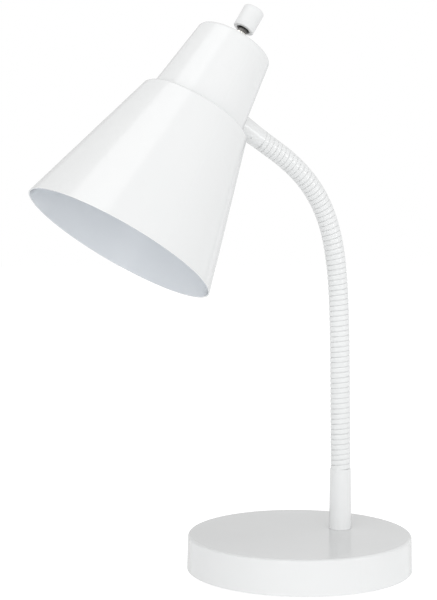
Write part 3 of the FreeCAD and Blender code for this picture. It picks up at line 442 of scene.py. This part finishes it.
def rib_profile():
    """Return one rib as (share of the pitch, radius): a low crown between two narrow grooves."""
    profile = []
    for index in range(RIB_SAMPLES):
        share = 0.5 - 0.5 * math.cos(math.pi * index / RIB_SAMPLES)
        away = abs(2 * share - 1)
        rise = math.sqrt(max(0.0, 1 - away ** 5))
        profile.append((share, GROOVE_RADIUS + (RIB_RADIUS - GROOVE_RADIUS) * rise))
    return profile


def joint_distance(index):
    """Return where along the neck a joint of the chain sits."""
    return (RIBS_PER_STUB + RIBS_PER_LINK * index) * RIB_PITCH


def neck_stretch(name, low, high):
    """Make one stretch of the wound skin."""
    bm = bmesh.new()
    wound_tube(bm, on_neck, low, high, RIB_PITCH, NECK_AROUND, rib_profile(), NECK_BORE, RIB_PITCH)
    piece = new_object(name, bm)
    finish_with(piece, paint)
    return piece


def make_neck():
    """Build the neck's stretches, hide the solids they stand for, and let the two halves of the halved
    stretch follow the bodies on either side of its joint.
    """
    half_link = RIBS_PER_LINK * RIB_PITCH / 2
    joints = LINKS + 1
    for index in range(joints):
        middle = joint_distance(index)
        low, high = middle - half_link, middle + half_link
        if index == 0:
            low = 0.0
        if index == joints - 1:
            high = NECK_LENGTH
        name = f"neck_skin_{index + 1:02d}"
        if index == HALVED_JOINT:
            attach(neck_stretch(f"{name}_below", low, middle), CHAIN[index])
            piece = neck_stretch(f"{name}_above", middle, high)
            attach(piece, CHAIN[index + 1])
        else:
            piece = neck_stretch(name, low, high)
            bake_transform(piece)
        stands_for = []
        if index == 0:
            stands_for.append("neck_stub_lower")
        if index < LINKS:
            stands_for.append(f"neck_link_{index + 1:02d}")
        else:
            stands_for.append("neck_stub_upper")
        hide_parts(*stands_for)


make_neck()


# Stage and light
LOOK_FLAT = Vector((-0.8809, 0.4733, 0)).normalized()
LOOK_RIGHT = Vector((0.4733, 0.8809, 0)).normalized()
LOOK_DOWN = math.radians(4.2)
CAMERA_PLACE = (0.8412, -0.5133, 0.252)
CAMERA_SENSOR = 36
CAMERA_LENS = 89.64
FLOOR_RADIUS = 4000
FLOOR_AROUND = 96


def make_camera():
    """Set the camera at the photograph's place."""
    data = bpy.data.cameras.new("camera")
    data.sensor_width = CAMERA_SENSOR
    data.lens = CAMERA_LENS
    camera = bpy.data.objects.new("camera", data)
    bpy.context.scene.collection.objects.link(camera)
    look = math.cos(LOOK_DOWN) * LOOK_FLAT - math.sin(LOOK_DOWN) * UP
    camera.location = CAMERA_PLACE
    camera.rotation_mode = "QUATERNION"
    camera.rotation_quaternion = look.to_track_quat("-Z", "Y")
    bpy.context.scene.camera = camera


def seen_directly(nodes, links):
    """Return 1 for rays that show the backdrop itself: straight, mirrored or through glass."""
    path = nodes.new("ShaderNodeLightPath")
    total = path.outputs["Is Camera Ray"]
    for kind in ("Is Glossy Ray", "Is Transmission Ray"):
        larger = nodes.new("ShaderNodeMath")
        larger.operation = "MAXIMUM"
        links.new(total, larger.inputs[0])
        links.new(path.outputs[kind], larger.inputs[1])
        total = larger.outputs["Value"]
    return total


def make_floor():
    """Lay a wide white floor that still takes the lamp's shadow."""
    bm = bmesh.new()
    centre = bm.verts.new((0, 0, 0))
    rim = ring(bm, lambda d: (Vector((0, 0, d)), Vector((0, 1, 0)), UP), 0.0, FLOOR_RADIUS, FLOOR_AROUND)
    for index, point in enumerate(rim):
        bm.faces.new((centre, point, rim[(index + 1) % FLOOR_AROUND]))
    floor = new_object("floor", bm)
    material, nodes, links, shader = tree("floor_white")
    nodes.remove(shader)
    seen = seen_directly(nodes, links)
    plain = nodes.new("ShaderNodeBsdfDiffuse")
    plain.inputs["Color"].default_value = (0.82, 0.82, 0.82, 1)
    shadowed = nodes.new("ShaderNodeBsdfDiffuse")
    shadowed.inputs["Color"].default_value = (0.3, 0.3, 0.3, 1)
    glow = nodes.new("ShaderNodeEmission")
    glow.inputs["Color"].default_value = (1, 1, 1, 1)
    glow.inputs["Strength"].default_value = 0.9
    both = nodes.new("ShaderNodeAddShader")
    links.new(shadowed.outputs[0], both.inputs[0])
    links.new(glow.outputs[0], both.inputs[1])
    pick = nodes.new("ShaderNodeMixShader")
    lifted = nodes.new("ShaderNodeEmission")
    lifted.inputs["Color"].default_value = (0.96, 0.985, 1, 1)
    lifted.inputs["Strength"].default_value = 0.21
    below = nodes.new("ShaderNodeAddShader")
    links.new(plain.outputs[0], below.inputs[0])
    links.new(lifted.outputs[0], below.inputs[1])
    links.new(seen, pick.inputs["Fac"])
    links.new(below.outputs[0], pick.inputs[1])
    links.new(both.outputs[0], pick.inputs[2])
    links.new(pick.outputs[0], nodes["Material Output"].inputs["Surface"])
    finish_with(floor, material)


def make_world():
    """White for what is seen directly, and for light a room that is dimmer above and behind."""
    world = bpy.data.worlds.new("world")
    bpy.context.scene.world = world
    world.use_nodes = True
    nodes, links = world.node_tree.nodes, world.node_tree.links
    background = nodes["Background"]
    seen = seen_directly(nodes, links)
    place = nodes.new("ShaderNodeTexCoord")
    total = None
    for direction, low, high in (
        (UP, 0.84, 0.13),
        (-LOOK_FLAT, 0.08, 0.32),
        (LOOK_RIGHT, 0.0, 0.3),
    ):
        dot = nodes.new("ShaderNodeVectorMath")
        dot.operation = "DOT_PRODUCT"
        dot.inputs[1].default_value = direction
        links.new(place.outputs["Generated"], dot.inputs[0])
        stretch = nodes.new("ShaderNodeMapRange")
        stretch.inputs["From Min"].default_value = -1
        stretch.inputs["To Min"].default_value = low
        stretch.inputs["To Max"].default_value = high
        links.new(dot.outputs["Value"], stretch.inputs["Value"])
        if total is None:
            total = stretch.outputs["Result"]
        else:
            add = nodes.new("ShaderNodeMath")
            add.operation = "ADD"
            links.new(total, add.inputs[0])
            links.new(stretch.outputs["Result"], add.inputs[1])
            total = add.outputs["Value"]
    pick = nodes.new("ShaderNodeMix")
    pick.data_type = "FLOAT"
    pick.inputs["B"].default_value = 1.0
    links.new(seen, pick.inputs["Factor"])
    links.new(total, pick.inputs["A"])
    background.inputs["Color"].default_value = (1, 1, 1, 1)
    links.new(pick.outputs["Result"], background.inputs["Strength"])


def area_light(name, target, direction, distance, width, height, radiance, colour=(1, 1, 1), level=UP):
    """Add a soft box that looks at a point from a direction. Its radiance is what a mirror would show."""
    data = bpy.data.lights.new(name, "AREA")
    data.shape = "RECTANGLE"
    data.size, data.size_y = width, height
    data.energy = radiance * math.pi * width * height
    data.color = colour
    lamp = bpy.data.objects.new(name, data)
    bpy.context.scene.collection.objects.link(lamp)
    back = Vector(direction).normalized()
    across = Vector(level).cross(back).normalized()
    along = back.cross(across)
    turn = Matrix((across, along, back)).transposed().to_4x4()
    lamp.matrix_world = Matrix.Translation(Vector(target) + distance * back) @ turn


def make_lights():
    """Place the soft boxes whose reflections show on the shade."""
    shade = (SHADE_MOUTH + 75 * SHADE_AXIS) * MM
    area_light("overhead_box", shade, (0.12, -0.31, 0.94), 1.1, 0.85, 0.6, 1.4, level=(0.25, -0.97, 0))
    cap = Vector((shade.x, shade.y, 0.23))
    area_light("side_strip", cap, (0.846, 0.533, 0.0), 1.2, 0.16, 0.36, 4.5)
    area_light("front_fill", shade, (0.88, -0.47, 0.25), 2.2, 2.0, 2.0, 0.8)
    area_light("left_fill", cap, (0.174, -0.945, 0.0), 1.6, 1.2, 0.42, 1.3)


make_camera()
make_floor()
make_world()
make_lights()
bpy.context.scene.view_settings.view_transform = "Standard"
